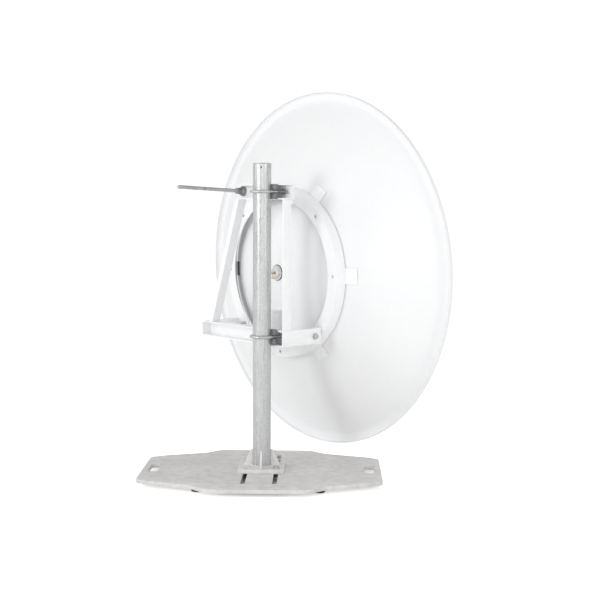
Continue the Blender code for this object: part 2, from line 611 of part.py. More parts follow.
def feed():
    """Hub behind the vertex, tube through the bowl, and the feed head at the focus."""
    back = bowl_back(0.027) - GAP
    gasket = [(0.027, back), (0.027, back - 0.0012), (0.0153, back - 0.0012), (0.0153, back)]
    dish_part("hub_gasket", turned("hub_gasket", gasket, 24), RUBBER, turned_piece=True)
    hub_rear, disc = -0.2100, back - 0.0012 - GAP
    hub = [(0, 0.150), (0.0150, 0.150), (0.0150, disc), (0.0252, disc), (0.0252, disc - 0.0022),
           (0.0165, disc - 0.0026), (0.0165, hub_rear + 0.001), (0.0155, hub_rear), (0, hub_rear)]
    flange = 0.024
    front = bowl_back(HUB_HOLE) + SKIN + 0.0035
    collar = [(flange, front), (flange, front - 0.0028), (0.0153, front - 0.0028), (0.0153, front)]
    dish_part("hub_nut", turned("hub_nut", collar, 24), ALUMINIUM, turned_piece=True)
    dish_part("feed_tube", turned("feed_tube", hub, 24), ALUMINIUM, turned_piece=True)
    start = 0.150 + GAP
    cone = [(0, 0.205), (0.038, 0.205), (0.040, 0.201), (0.022, 0.172), (0.0165, start), (0, start)]
    dish_part("feed_cone", turned("feed_cone", cone, 24), PLASTIC, turned_piece=True)
    start = 0.205 + GAP
    cap = [(0, start + 0.016), (0.020, start + 0.015), (0.041, start + 0.006), (0.043, start + 0.003),
           (0.043, start), (0, start)]
    dish_part("sub_reflector", turned("sub_reflector", cap, 24), ALUMINIUM, turned_piece=True)

    socket = baked("connector", prism("socket", 0.0045, 0, 0.003, 6),
                   ("UNION", prism("thread", 0.0037, 0.002, 0.008, 12)),
                   ("DIFFERENCE", prism("mouth", 0.0027, 0.005, 0.009, 12)))
    fix("feed_connector_rear", socket, BRASS, DISH, DISH_AT + Vector((0, hub_rear - GAP, 0)), (0, -1, 0))
    way = Vector((-0.63, 0, -0.777))
    fix("feed_connector_side", socket, BRASS, DISH,
        DISH_AT + Vector((0, -0.2049, 0)) + way * (0.0165 + GAP), way)


# ---------------------------------------------------------------- elevation rod
PIN = RIM_CENTRE + Vector((0, PIVOT_Y, PIVOT_Z)) + Matrix.Rotation(DISH_TILT, 3, "X") @ (
    PIN_IN_DISH - PIVOT_IN_DISH)
ROD = empty("rod_axis", PIN + Vector((ROD_X, 0, 0)), (-ROD_RISE, 0, 0))


def along_rod(y_world):
    """Distance along the rod, behind its pin, of a plane across the mount frame."""
    return (PIN.y - RIM_Y - y_world) / math.cos(ROD_RISE)


def elevation_rod():
    shaft = rounds("elevation_rod", (ROD_RADIUS, (0, -0.010, 0), (0, -ROD_LENGTH, 0)))
    rod = add("elevation_rod", shaft, ZINC, ROD, smooth=False)
    eye = rounds("rod_eye", (0.0115, (-EYE_HALF, 0, 0), (EYE_HALF, 0, 0)))
    boolean(rod, "UNION", cutter("rod_eye", eye, ROD))
    bore = rounds("eye_bore", (0.0043, (-0.01, 0, 0), (0.01, 0, 0)))
    boolean(rod, "DIFFERENCE", cutter("eye_bore", bore, ROD))
    bore = ROD_RADIUS + GAP
    rear, front = -along_rod(WEB_REAR - 0.0012), -along_rod(FRAME_FRONT + 0.0012)
    cone = [(0.0165, rear), (0.0165, rear - 0.004), (0.0115, rear - CONE), (bore, rear - CONE),
            (bore, rear)]
    add("taper_washer", turned("taper_washer", cone, 24), ZINC, ROD, turn=FORWARD)
    fix("rod_nut_rear", nut(0.019, 0.014, 0.0112, 0.001, bore), ZINC, ROD,
        (0, rear - CONE - GAP, 0), (0, -1, 0))
    washer = plate("flat_washer", [circle((0, 0), 0.013, 24), circle((0, 0), bore)], 0.0025)
    fix("flat_washer", washer, ZINC, ROD, (0, front + 0.00125, 0), (0, 1, 0))
    fix("rod_nut_front", nut(0.019, 0.009, 0.0115, 0.001, bore), ZINC, ROD,
        (0, front + 0.0025 + GAP, 0), (0, 1, 0))


for make in (base_plate, rubber_feet, mast_foot, mast, lower_bracket, upper_bracket, legs,
             mast_clamps, frame_bolts, reflector, mounting_ring, lugs, ring_bolts, feed,
             elevation_rod):
    make()
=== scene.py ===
"""A satellite dish on its display stand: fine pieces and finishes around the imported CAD.

Every mesh is made in its own local axes and carried into the row frame, so its object sits at
the origin and object coordinates in a material are metres in that frame.
"""
import math

import bmesh
import bpy
from mathutils import Matrix, Vector


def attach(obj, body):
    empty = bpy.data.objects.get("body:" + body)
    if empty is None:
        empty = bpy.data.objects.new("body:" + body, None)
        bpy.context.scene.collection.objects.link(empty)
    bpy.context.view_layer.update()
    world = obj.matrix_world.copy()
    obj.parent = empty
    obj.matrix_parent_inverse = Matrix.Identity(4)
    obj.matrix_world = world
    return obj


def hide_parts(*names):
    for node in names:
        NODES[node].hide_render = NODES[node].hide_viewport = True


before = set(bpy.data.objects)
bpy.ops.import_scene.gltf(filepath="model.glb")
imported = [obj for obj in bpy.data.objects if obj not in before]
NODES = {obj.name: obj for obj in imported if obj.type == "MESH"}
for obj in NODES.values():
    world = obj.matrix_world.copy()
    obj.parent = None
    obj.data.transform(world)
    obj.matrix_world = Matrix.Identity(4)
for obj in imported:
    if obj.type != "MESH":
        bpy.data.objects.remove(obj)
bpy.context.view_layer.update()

# ---------------------------------------------------------------- places, in metres
# the dish: from the middle of its rim, +Y forward along the boresight
RIM_RADIUS = 0.600
SKIN = 0.0025
VERTEX_Y, FOUR_FOCAL = -0.196, 1.63
BOWL_EDGE, HUB_HOLE, HUB_REAR = 0.566, 0.022, -0.2100
RING_REAR, RING_FRONT = -0.189, -0.1515
RING_INNER, RING_OUTER, HOLE_CIRCLE, RING_HOLE = 0.2427, 0.2830, 0.2656, 0.0055
FEET_RADIUS, RIVET_RADIUS, RIVET_SIDE = 0.303, 0.310, 0.011
# where the black patch of painted shade lies on the bowl, and how steeply it leans
SHADE_PATCH_RADIUS, SHADE_PATCH_SLOPE = 0.262, 0.33
LUG_REAR = -0.1933
PIVOT_IN_DISH = Vector((0, -0.2211, -0.1913))
PIN_IN_DISH = Vector((0, -0.214, HOLE_CIRCLE))

# the mount frame: from the same point, but upright
MAST_X, MAST_Y, MAST_RADIUS = 0.149, -0.380, 0.0285
FRAME_FRONT, WEB_REAR, SHEET = -0.312, -0.316, 0.004
CLAMP_Z = (-0.191, 0.261)
U_LEG, U_PLAIN, U_LENGTH = 0.034, 0.0303, 0.077
PIVOT = Vector((0, -0.216, -0.197))
ARM_OUTER, ARM_INNER, SPACER_X, SPACER_HALF = 0.2150, 0.2030, 0.2090, 0.0017
LEG_BOLT_X = 0.202

# the stand: from the mast's axis at floor level, turned with the base plate
MAST_TOP, MAST_HOLE, MAST_HOLE_DOWN = 0.983, 0.0038, 0.012
FOOT_TOP, FOOT_BOLT, PLATE_UNDER = 0.0368, 0.048, 0.0122
RUBBER_U, RUBBER_V = 0.184, 0.190
WELD_RADIUS, WELD_LIFT, WELD_STEPS = 0.0307, 0.0008, 120

# the elevation rod: from its pin
ROD_X, ROD_LENGTH, EYE_HALF = -0.028, 0.3515, 0.0062
CONE, WASHER, ROD_CLEAR = 0.0125, 0.0025, 0.0012

GAP = 0.0003
NUT_SIDES = 48
THREAD_LEAD = 0.0006    # a thread fades out this far from its end

RIM = Vector((0, 0.262, 0.637))
STAND = Matrix.Translation((0.149, -0.118, 0)) @ Matrix.Rotation(math.radians(48), 4, "Z")
FRAME = Matrix.Translation(RIM)
DISH = (Matrix.Translation(RIM + PIVOT) @ Matrix.Rotation(math.radians(1.5), 4, "X")
        @ Matrix.Translation(-PIVOT_IN_DISH))
PIN = DISH @ PIN_IN_DISH
RISE = math.radians(2.4)
ROD = Matrix.Translation(PIN + Vector((ROD_X, 0, 0))) @ Matrix.Rotation(-RISE, 4, "X")
FORWARD = Matrix.Rotation(-math.pi / 2, 4, "X")    # carries a profile's height onto the boresight


def bowl_back(radius):
    return VERTEX_Y + radius ** 2 / FOUR_FOCAL


def tilt(radius):
    """How far the bowl leans out at this radius."""
    return math.atan(2 * radius / FOUR_FOCAL)


# ---------------------------------------------------------------- materials
class Finish:
    """A Principled material built from noise in object coordinates."""

    def __init__(self, name, colour, roughness, metallic=0.0, **sockets):
        self.material = bpy.data.materials.new(name)
        self.material.use_nodes = True
        self.tree = self.material.node_tree
        self.shader = self.tree.nodes["Principled BSDF"]
        self.shader.inputs["Metallic"].default_value = metallic
        for socket, value in sockets.items():
            self.shader.inputs[socket.replace("_", " ")].default_value = value
        self.where = self.make("ShaderNodeTexCoord").outputs["Object"]
        self.colour = self.constant(colour)
        self.roughness = roughness
        self.height = None

    def make(self, kind, inputs=None, **settings):
        made = self.tree.nodes.new(kind)
        for key, value in settings.items():
            setattr(made, key, value)
        for socket, value in (inputs or {}).items():
            if isinstance(value, bpy.types.NodeSocket):
                self.tree.links.new(value, made.inputs[socket])
            else:
                made.inputs[socket].default_value = value
        return made

    def constant(self, colour):
        made = self.make("ShaderNodeRGB")
        made.outputs[0].default_value = (*colour, 1)
        return made.outputs[0]

    def scaled(self, scale, turn=(0, 0, 0), shift=(0, 0, 0)):
        mapped = self.make("ShaderNodeMapping", {"Vector": self.where, "Scale": scale,
                                                 "Rotation": turn, "Location": shift})
        return mapped.outputs[0]

    def noise(self, scale, detail=3.0, where=None, low=0.3, high=0.7, rough=0.55):
        """Noise stretched so that low..high fills 0..1."""
        made = self.make("ShaderNodeTexNoise", {"Vector": where or self.where, "Scale": scale,
                                                "Detail": detail, "Roughness": rough})
        return self.stretch(made.outputs[0], low, high)

    def cells(self, scale, where=None):
        made = self.make("ShaderNodeTexVoronoi", {"Vector": where or self.where, "Scale": scale})
        return self.make("ShaderNodeSeparateColor", {0: made.outputs["Color"]}).outputs[0]

    def stretch(self, value, low, high, to_low=0.0, to_high=1.0):
        made = self.make("ShaderNodeMapRange", {0: value, 1: low, 2: high, 3: to_low, 4: to_high})
        return made.outputs[0]

    def tint(self, factor, colour, amount=1.0):
        """Blends towards a colour where factor is high."""
        if amount < 1.0:
            factor = self.stretch(factor, 0.0, 1.0, 0.0, amount)
        mixed = self.make("ShaderNodeMix", data_type="RGBA")
        self.tree.links.new(factor, mixed.inputs[0])
        self.tree.links.new(self.colour, mixed.inputs[6])
        mixed.inputs[7].default_value = (*colour, 1)
        self.colour = mixed.outputs[2]

    def bump(self, height, distance, strength=1.0):
        step = self.make("ShaderNodeBump", {"Height": height, "Distance": distance,
                                            "Strength": strength})
        if self.height:
            self.tree.links.new(self.height, step.inputs["Normal"])
        self.height = step.outputs[0]

    def done(self, rough_from=None, spread=0.1):
        """Joins everything to the shader; roughness varies by spread where rough_from does."""
        self.tree.links.new(self.colour, self.shader.inputs["Base Color"])
        if rough_from is None:
            rough_from = self.noise(40)
        varied = self.stretch(rough_from, 0, 1, self.roughness - spread, self.roughness + spread)
        self.tree.links.new(varied, self.shader.inputs["Roughness"])
        if self.height:
            self.tree.links.new(self.height, self.shader.inputs["Normal"])
        return self.material


def powder_coat(name, colour, shade):
    made = Finish(name, colour, 0.42, Coat_Weight=0.15, Coat_Roughness=0.3)
    made.tint(made.noise(2.3, 4), shade, 0.5)
    made.tint(made.noise(55, 5, low=0.52, high=0.80), tuple(c * 0.90 for c in shade), 0.35)
    peel = made.noise(950, 2)
    made.bump(peel, 0.00004, 0.5)
    made.bump(made.noise(120, 2), 0.0001, 0.25)
    return made.done(made.noise(18, 4), 0.07)


def spun_coat(name, colour, shade):
    """Powder coat over spun metal: faint rings about the boresight."""
    made = Finish(name, colour, 0.55, Coat_Weight=0.08, Coat_Roughness=0.4)
    centred = made.scaled((1, 1, 1), shift=tuple(-c for c in DISH.to_translation()))
    parts = made.make("ShaderNodeSeparateXYZ", {0: centred})
    squares = [made.make("ShaderNodeMath", {0: parts.outputs[i], 1: parts.outputs[i]},
                         operation="MULTIPLY").outputs[0] for i in (0, 2)]
    total = made.make("ShaderNodeMath", {0: squares[0], 1: squares[1]}, operation="ADD")
    radius = made.make("ShaderNodeMath", {0: total.outputs[0], 1: 0.5}, operation="POWER").outputs[0]
    ring = made.make("ShaderNodeTexNoise", {"W": radius, "Scale": 260, "Detail": 3},
                     noise_dimensions="1D").outputs[0]
    made.tint(made.noise(1.7, 5), shade, 0.55)
    made.tint(made.noise(70, 5, low=0.55, high=0.82), tuple(c * 0.92 for c in shade), 0.25)
    made.tint(made.stretch(ring, 0.35, 0.7), shade, 0.25)
    made.bump(ring, 0.00025, 0.5)
    made.bump(made.noise(950, 2), 0.00004, 0.5)
    made.bump(made.noise(9, 3), 0.0016, 0.35)
    return made.done(ring, 0.05)


def galvanised():
    made = Finish("galvanised", (0.54, 0.545, 0.545), 0.34, 0.52)
    streak = made.noise(1, 6, made.scaled((170, 170, 9)), 0.34, 0.66)
    broad = made.noise(1, 4, made.scaled((38, 38, 14)), 0.35, 0.65)
    made.tint(streak, (0.70, 0.705, 0.705), 0.40)
    made.tint(broad, (0.46, 0.465, 0.465), 0.35)
    made.tint(made.cells(260), (0.70, 0.71, 0.72), 0.45)
    made.tint(made.noise(330, 4, low=0.45, high=0.62), (0.34, 0.345, 0.345), 0.45)
    made.tint(made.noise(24, 6, low=0.56, high=0.78), (0.36, 0.355, 0.34), 0.40)
    made.bump(streak, 0.0003, 0.30)
    made.bump(made.noise(420, 3), 0.0002, 0.5)
    return made.done(streak, 0.14)


def cast(name, colour):
    made = Finish(name, colour, 0.62, 0.25)
    made.tint(made.noise(6, 5), tuple(c * 1.32 for c in colour), 0.6)
    made.tint(made.noise(36, 6, low=0.40, high=0.70), tuple(c * 0.74 for c in colour), 0.55)
    made.tint(made.noise(260, 4, low=0.55, high=0.75), (0.58, 0.52, 0.46), 0.35)
    made.tint(made.cells(210), tuple(c * 1.2 for c in colour), 0.25)
    made.bump(made.noise(190, 5), 0.0011, 0.45)
    made.bump(made.noise(24, 4), 0.0016, 0.25)
    return made.done(made.noise(30, 4), 0.12)


def plated(name, colour, roughness=0.36):
    made = Finish(name, colour, roughness, 0.85)
    made.tint(made.noise(120, 5), tuple(c * 1.35 for c in colour), 0.5)
    made.tint(made.noise(45, 6, low=0.5, high=0.72), (0.20, 0.19, 0.17), 0.45)
    made.bump(made.noise(900, 3), 0.0001, 0.5)
    return made.done(made.noise(150, 4), 0.12)


def moulded(name, colour, roughness, lighter):
    made = Finish(name, colour, roughness)
    made.tint(made.noise(60, 5), lighter, 0.5)
    made.tint(made.noise(300, 4, low=0.55, high=0.75), tuple(c * 1.3 for c in lighter), 0.3)
    made.bump(made.noise(700, 3), 0.00025, 0.5)
    return made.done(made.noise(80, 4), 0.08)


def turned_metal(name, colour, roughness):
    made = Finish(name, colour, roughness, 0.9)
    lines = made.noise(1, 3, made.scaled((3, 900, 3)))
    made.tint(lines, tuple(c * 0.80 for c in colour), 0.5)
    made.tint(made.noise(60, 5, low=0.5, high=0.75), tuple(c * 0.62 for c in colour), 0.3)
    made.bump(lines, 0.00008, 0.5)
    return made.done(lines, 0.09)


WHITE = powder_coat("frame_white", (0.90, 0.905, 0.91), (0.85, 0.855, 0.865))
DISH_WHITE = spun_coat("dish_white", (0.86, 0.865, 0.87), (0.80, 0.805, 0.815))
GALVANISED = galvanised()
CAST = cast("cast_grey", (0.62, 0.61, 0.60))
CAST_LIGHT = cast("cast_light", (0.66, 0.65, 0.64))
ZINC = plated("zinc_plate", (0.50, 0.50, 0.49))
ROD_ZINC = plated("rod_zinc", (0.44, 0.445, 0.45), 0.40)
BRIGHT_ZINC = plated("bright_zinc", (0.72, 0.72, 0.71), 0.4)
DARK_ZINC = plated("dark_zinc", (0.27, 0.275, 0.28), 0.42)
SADDLE = plated("saddle_grey", (0.23, 0.235, 0.255), 0.55)
GOLD = turned_metal("gold_plate", (0.74, 0.58, 0.36), 0.30)
TURNED = turned_metal("turned_aluminium", (0.80, 0.80, 0.79), 0.30)
RUBBER = moulded("black_rubber", (0.022, 0.022, 0.023), 0.72, (0.045, 0.044, 0.043))
PLASTIC = moulded("feed_plastic", (0.78, 0.78, 0.74), 0.42, (0.84, 0.84, 0.81))


# ---------------------------------------------------------------- mesh tools
def skin(bm, rows, closed=False):
    """Quads between rings of points; the two end rings are filled, or joined if closed."""
    rings = [[bm.verts.new(p) for p in row] for row in rows]
    following = rings[1:] + rings[:1] if closed else rings[1:]
    for one, two in zip(rings, following):
        for i in range(len(one)):
            j = (i + 1) % len(one)
            bm.faces.new((one[i], one[j], two[j], two[i]))
    if not closed:
        bm.faces.new(list(reversed(rings[0])))
        bm.faces.new(rings[-1])


def ring_row(radius, height, sides):
    return [Vector((radius * math.cos(2 * math.pi * i / sides),
                    radius * math.sin(2 * math.pi * i / sides), height)) for i in range(sides)]


def hex_rows(across, low, high, sides=NUT_SIDES):
    """Rows of a hexagon whose corners are turned off at the top."""
    flat = across / 2
    top = 0.95 * flat

    def row(height, slope):
        out = []
        for i in range(sides):
            angle = 2 * math.pi * i / sides
            reach = flat / math.cos(math.radians(math.degrees(angle) % 60 - 30))
            drop = (reach - top) * slope
            out.append(Vector((reach * math.cos(angle), reach * math.sin(angle), height - drop)))
        return out
    return [row(low, 0), row(high, math.tan(math.radians(28))), ring_row(top, high, sides)]


def thread(bm, radius, low, high, pitch, depth, sides=20):
    """A shaft with a helical thread between two heights, flat at both ends."""
    levels = (radius - depth, radius - depth / 2, radius, radius - depth / 2)
    turn = len(levels)
    grid = []
    for i in range(-turn, int((high - low) / pitch * turn) + 2 * turn):
        ring = []
        for k in range(sides):
            height = low + (i + turn * k / sides) * pitch / turn
            from_end = max(min(height - low, high - height), 0.0)
            r = levels[i % turn] - max(0.0, THREAD_LEAD - from_end) * 0.8
            angle = 2 * math.pi * k / sides
            ring.append(bm.verts.new((r * math.cos(angle), r * math.sin(angle),
                                      min(max(height, low), high))))
        grid.append(ring)
    for i in range(len(grid) - 1):
        for k in range(sides):
            if k < sides - 1:
                quad = (grid[i][k], grid[i][k + 1], grid[i + 1][k + 1], grid[i + 1][k])
            elif i + turn + 1 < len(grid):
                quad = (grid[i][k], grid[i + turn][0], grid[i + turn + 1][0], grid[i + 1][k])
            else:
                continue
            if max(v.co.z for v in quad) - min(v.co.z for v in quad) > 1e-7:
                bm.faces.new(quad)
    for height, way in ((low, 1), (high, -1)):
        cap = ring_row(radius - depth * 0.9, height + way * 0.00002, sides)
        bm.faces.new([bm.verts.new(p) for p in (cap if way < 0 else reversed(cap))])


def tube(bm, path, radius, sides=20):
    """A round wire along points, its ends closed flat."""
    rows = []
    for i, point in enumerate(path):
        ahead = path[min(i + 1, len(path) - 1)] - path[max(i - 1, 0)]
        turn = ahead.to_track_quat("Z", "X").to_matrix()
        rows.append([point + turn @ p for p in ring_row(radius, 0, sides)])
    skin(bm, rows)


def box(bm, low, high, place=Matrix()):
    low, high = Vector(low), Vector(high)
    bmesh.ops.create_cube(bm, size=1, matrix=place @ Matrix.Translation((low + high) / 2)
                          @ Matrix.Diagonal((*(high - low), 1)))


def mesh_from(name, build):
    bm = bmesh.new()
    build(bm)
    bmesh.ops.recalc_face_normals(bm, faces=bm.faces)
    mesh = bpy.data.meshes.new(name)
    bm.to_mesh(mesh)
    bm.free()
    return mesh


def turned(name, profile, sides, closed=False):
    """A profile of (radius, height) turned about Z; closed joins its last point to its first."""
    return mesh_from(name, lambda bm: skin(bm, [ring_row(r, z, sides) for r, z in profile], closed))


def piece(name, mesh, place, body, finish, nodes, sharp=35):
    """A piece of the object at rest: its mesh carried into the row frame."""
    mesh = mesh.copy()
    mesh.transform(place)
    mesh.materials.clear()
    mesh.materials.append(finish)
    mesh.shade_smooth()
    mesh.set_sharp_from_angle(angle=math.radians(sharp))
    made = bpy.data.objects.new(name, mesh)
    bpy.context.scene.collection.objects.link(made)
    if nodes:
        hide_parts(*nodes)
    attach(made, body)


def shaped(mesh, *steps, bevel=0.0):
    """The mesh after Boolean steps and a small bevel."""
    body = bpy.data.objects.new("shaped", mesh)
    bpy.context.scene.collection.objects.link(body)
    tools = []
    for operation, tool_mesh in steps:
        tools.append(bpy.data.objects.new("tool", tool_mesh))
        bpy.context.scene.collection.objects.link(tools[-1])
        step = body.modifiers.new(operation, "BOOLEAN")
        step.operation, step.solver, step.object = operation, "EXACT", tools[-1]
    if bevel:
        step = body.modifiers.new("bevel", "BEVEL")
        step.width, step.segments, step.limit_method = bevel, 3, "ANGLE"
        step.angle_limit, step.use_clamp_overlap = math.radians(38), True
    ready = body.evaluated_get(bpy.context.evaluated_depsgraph_get())
    result = bpy.data.meshes.new_from_object(ready)
    for used in (body, *tools):
        bpy.data.objects.remove(used, do_unlink=True)
    return result


def softened(node, finish, body, bevel):
    """A CAD node's own shape with its facets joined and its edges rounded."""
    bm = bmesh.new()
    bm.from_mesh(NODES[node].data)
    bmesh.ops.remove_doubles(bm, verts=bm.verts, dist=0.00002)
    bmesh.ops.dissolve_limit(bm, angle_limit=math.radians(1.0), verts=bm.verts, edges=bm.edges)
    mesh = bpy.data.meshes.new(node)
    bm.to_mesh(mesh)
    bm.free()
    mesh = shaped(mesh, bevel=bevel)
    piece(f"{node}_fine", mesh, Matrix(), body, finish, [node], sharp=50)


def along(at, out):
    """Places local Z along out at a point."""
    return Matrix.Translation(Vector(at)) @ Vector(out).to_track_quat("Z", "Y").to_matrix().to_4x4()


# ---------------------------------------------------------------- fasteners
def head_rows(across, height, collar_radius, collar):
    """Rows of a nut or bolt head standing on Z = 0: a collar with a rounded edge, then a hexagon."""
    rim = ((collar_radius - 0.0004, 0), (collar_radius, 0.0004), (collar_radius - 0.0002, collar))
    return [*(ring_row(r, z, NUT_SIDES) for r, z in rim),
            *hex_rows(across, collar + 0.0002, collar + height)]


def nut_mesh(across, height, collar_radius, collar, bore):
    top = collar + height
    rows = [ring_row(bore, 0, NUT_SIDES), *head_rows(across, height, collar_radius, collar),
            ring_row(bore + 0.0007, top, NUT_SIDES), ring_row(bore, top - 0.0007, NUT_SIDES)]
    return mesh_from("nut", lambda bm: skin(bm, rows, closed=True))


def bolt_mesh(across, head, collar_radius, collar, shank, length, pitch=0.0015, plain=0.0):
    """A bolt with its head above Z = 0 and its shank below, threaded past a plain part."""
    top = collar + head
    rows = [*head_rows(across, head, collar_radius, collar),
            ring_row(across * 0.40, top, NUT_SIDES), ring_row(across * 0.38, top - 0.0003, NUT_SIDES)]

    def build(bm):
        skin(bm, rows)
        if plain:
            skin(bm, [ring_row(shank * 0.96, -plain, 24), ring_row(shank * 0.96, 0.0001, 24)])
        thread(bm, shank, -length, -plain, pitch, pitch * 0.5)
    return mesh_from("bolt", build)


M10_BOLT = bolt_mesh(0.016, 0.0064, 0.0105, 0.002, 0.005, 0.0348)
M10_NUT = nut_mesh(0.016, 0.008, 0.0125, 0.0015, 0.00455)
CLAMP_NUT = nut_mesh(0.014, 0.0082, 0.0078, 0.0006, 0.00455)


def weld_rows():
    """Sections of an uneven weld bead round the mast, where it stands on its foot."""
    rows = []
    for i in range(WELD_STEPS):
        angle = 2 * math.pi * i / WELD_STEPS
        swell = 0.0024 + 0.0005 * math.sin(i * 1.9) + 0.0003 * math.sin(i * 0.7)
        row = []
        for k in range(10):
            t = 2 * math.pi * k / 10
            radius = WELD_RADIUS + 0.9 * swell * math.cos(t)
            height = FOOT_TOP + WELD_LIFT + swell * math.sin(t)
            row.append(Vector((radius * math.cos(angle), radius * math.sin(angle), height)))
        rows.append(row)
    return rows


def stand():
    softened("base_plate", CAST, "stand", 0.0022)
    foot = [(0.0004, 0.0119), (0.0142, 0.0119), (0.0152, 0.0117), (0.0162, 0.0104), (0.0168, 0.0030),
            (0.0164, 0.0012), (0.0154, 0.0002), (0.0090, 0.0), (0.0086, 0.0018), (0.0004, 0.0020)]
    mesh = turned("foot", foot, 48)
    for i, (su, sv) in enumerate(((-1, -1), (1, -1), (1, 1), (-1, 1)), 1):
        place = STAND @ Matrix.Translation((su * RUBBER_U, sv * RUBBER_V, 0))
        piece(f"rubber_foot_{i}_fine", mesh, place, "stand", RUBBER, [f"rubber_foot_{i}"])
    softened("mast_foot", CAST_LIGHT, "mast", 0.0012)
    bead = mesh_from("bead", lambda bm: skin(bm, weld_rows(), closed=True))
    piece("mast_weld", bead, STAND, "mast", CAST_LIGHT, (), 60)
    for i, (su, sv) in enumerate(((1, -1), (1, 1), (-1, 1)), 1):
        at = (su * FOOT_BOLT, sv * FOOT_BOLT)
        piece(f"foot_bolt_{i}_fine", M10_BOLT, STAND @ along((*at, FOOT_TOP + GAP), (0, 0, 1)),
              "mast", ZINC, [f"foot_bolt_{i}"])
        piece(f"foot_nut_{i}_fine", M10_NUT, STAND @ along((*at, PLATE_UNDER), (0, 0, -1)),
              "mast", ZINC, [f"foot_nut_{i}"])


def mast():
    bottom, inner = FOOT_TOP + GAP, MAST_RADIUS - 0.0035
    profile = [(MAST_RADIUS - 0.0006, MAST_TOP), (MAST_RADIUS, MAST_TOP - 0.0006),
               (MAST_RADIUS, bottom), (inner, bottom), (inner, MAST_TOP - 0.0005),
               (inner + 0.0005, MAST_TOP)]
    tube_mesh = turned("mast", profile, 96, closed=True)
    drill = mesh_from("drill", lambda bm: skin(bm, [
        [Matrix.Rotation(math.pi / 2, 3, "X") @ p + Vector((0, 0, MAST_TOP - MAST_HOLE_DOWN))
         for p in ring_row(MAST_HOLE, z, 24)] for z in (-0.05, 0.05)]))
    piece("mast_tube_fine", shaped(tube_mesh, ("DIFFERENCE", drill)), STAND, "mast", GALVANISED,
          ["mast_tube"])
    top = MAST_TOP + GAP
    cap = [(0.0005, top + 0.003), (0.020, top + 0.0029), (MAST_RADIUS - 0.0015, top + 0.0025),
           (MAST_RADIUS - 0.0002, top + 0.0012), (MAST_RADIUS, top), (inner - GAP, top),
           (inner - GAP, top - 0.007), (0.0005, top - 0.007)]
    piece("mast_cap_fine", turned("cap", cap, 64), STAND, "mast", GALVANISED, ["mast_cap"])


# ---------------------------------------------------------------- mount frame
def mast_clamp(place, z):
    """A U-bolt round the mast, with its saddle, its threads and the four nuts on them."""
    softened(f"saddle_{place}", SADDLE, "mount_frame", 0.0010)
    centre = Vector((MAST_X, MAST_Y, z))
    left, right = centre + Vector((-U_LEG, 0, 0)), centre + Vector((U_LEG, 0, 0))
    bend = [centre + U_LEG * Vector((math.cos(a), math.sin(a), 0))
            for a in (math.pi + math.pi * i / 48 for i in range(49))]
    plain = Vector((0, U_PLAIN, 0))
    path = [left + plain, left + plain * 0.5, *bend, right + plain * 0.5, right + plain]
    piece(f"u_bolt_{place}_fine", mesh_from("hoop", lambda bm: tube(bm, path, 0.0047)), FRAME,
          "mount_frame", ZINC, [f"u_bolt_{place}"])
    end = mesh_from("end", lambda bm: thread(bm, 0.005, U_PLAIN - GAP, U_LENGTH, 0.0015, 0.0008))
    for side, start in (("left", left), ("right", right)):
        piece(f"u_bolt_{place}_thread_{side}", end, FRAME @ along(start, (0, 1, 0)),
              "mount_frame", DARK_ZINC, ())
    for side, s in (("left", -1), ("right", 1)):
        for depth, face, way in (("rear", WEB_REAR, -1), ("front", FRAME_FRONT, 1)):
            at = (MAST_X + s * U_LEG, face + way * GAP, z)
            name = f"clamp_nut_{place}_{side}_{depth}"
            piece(f"{name}_fine", CLAMP_NUT, FRAME @ along(at, (0, way, 0)), "mount_frame",
                  DARK_ZINC, [name])


def leg_fasteners():
    """The bolt that holds the right leg to the upper bracket, and its nut in front."""
    at = Vector((LEG_BOLT_X, WEB_REAR - GAP, CLAMP_Z[1]))
    bolt = bolt_mesh(0.013, 0.0053, 0.008, 0.0012, 0.004, 0.018, 0.00125)
    piece("leg_bolt_fine", bolt, FRAME @ along(at, (0, -1, 0)), "mount_frame", BRIGHT_ZINC,
          ["leg_bolt"])
    at.y = FRAME_FRONT + SHEET + 2 * GAP
    nut = nut_mesh(0.013, 0.0055, 0.0085, 0.0012, 0.0036)
    piece("leg_nut_fine", nut, FRAME @ along(at, (0, 1, 0)), "mount_frame", ZINC, ["leg_nut"])


def pivot_fasteners():
    """A bolt, a nut and a spacer where each arm holds the dish."""
    bolt = bolt_mesh(0.016, 0.0064, 0.0105, 0.0015, 0.005, 0.026, plain=0.012)
    nut = nut_mesh(0.016, 0.008, 0.009, 0.0012, 0.00455)
    half = SPACER_HALF
    profile = [(0.0053, -half), (0.0096, -half), (0.010, 0.0004 - half), (0.010, half - 0.0004),
               (0.0096, half), (0.0053, half)]
    spacer = turned("spacer", profile, 48, closed=True)
    for side, s in (("left", -1), ("right", 1)):
        for name, mesh, x, out in (("bolt", bolt, ARM_OUTER + GAP, s),
                                   ("nut", nut, ARM_INNER - GAP, -s),
                                   ("spacer", spacer, SPACER_X, s)):
            place = FRAME @ along((s * x, PIVOT.y, PIVOT.z), (out, 0, 0))
            piece(f"pivot_{name}_{side}_fine", mesh, place, "mount_frame", ZINC,
                  [f"pivot_{name}_{side}"])


def mount_frame():
    for node in ("lower_bracket", "upper_bracket", "left_leg", "right_leg"):
        softened(node, WHITE, "mount_frame", 0.0009)
    for place, z in zip(("lower", "upper"), CLAMP_Z):
        mast_clamp(place, z)
    leg_fasteners()
    pivot_fasteners()


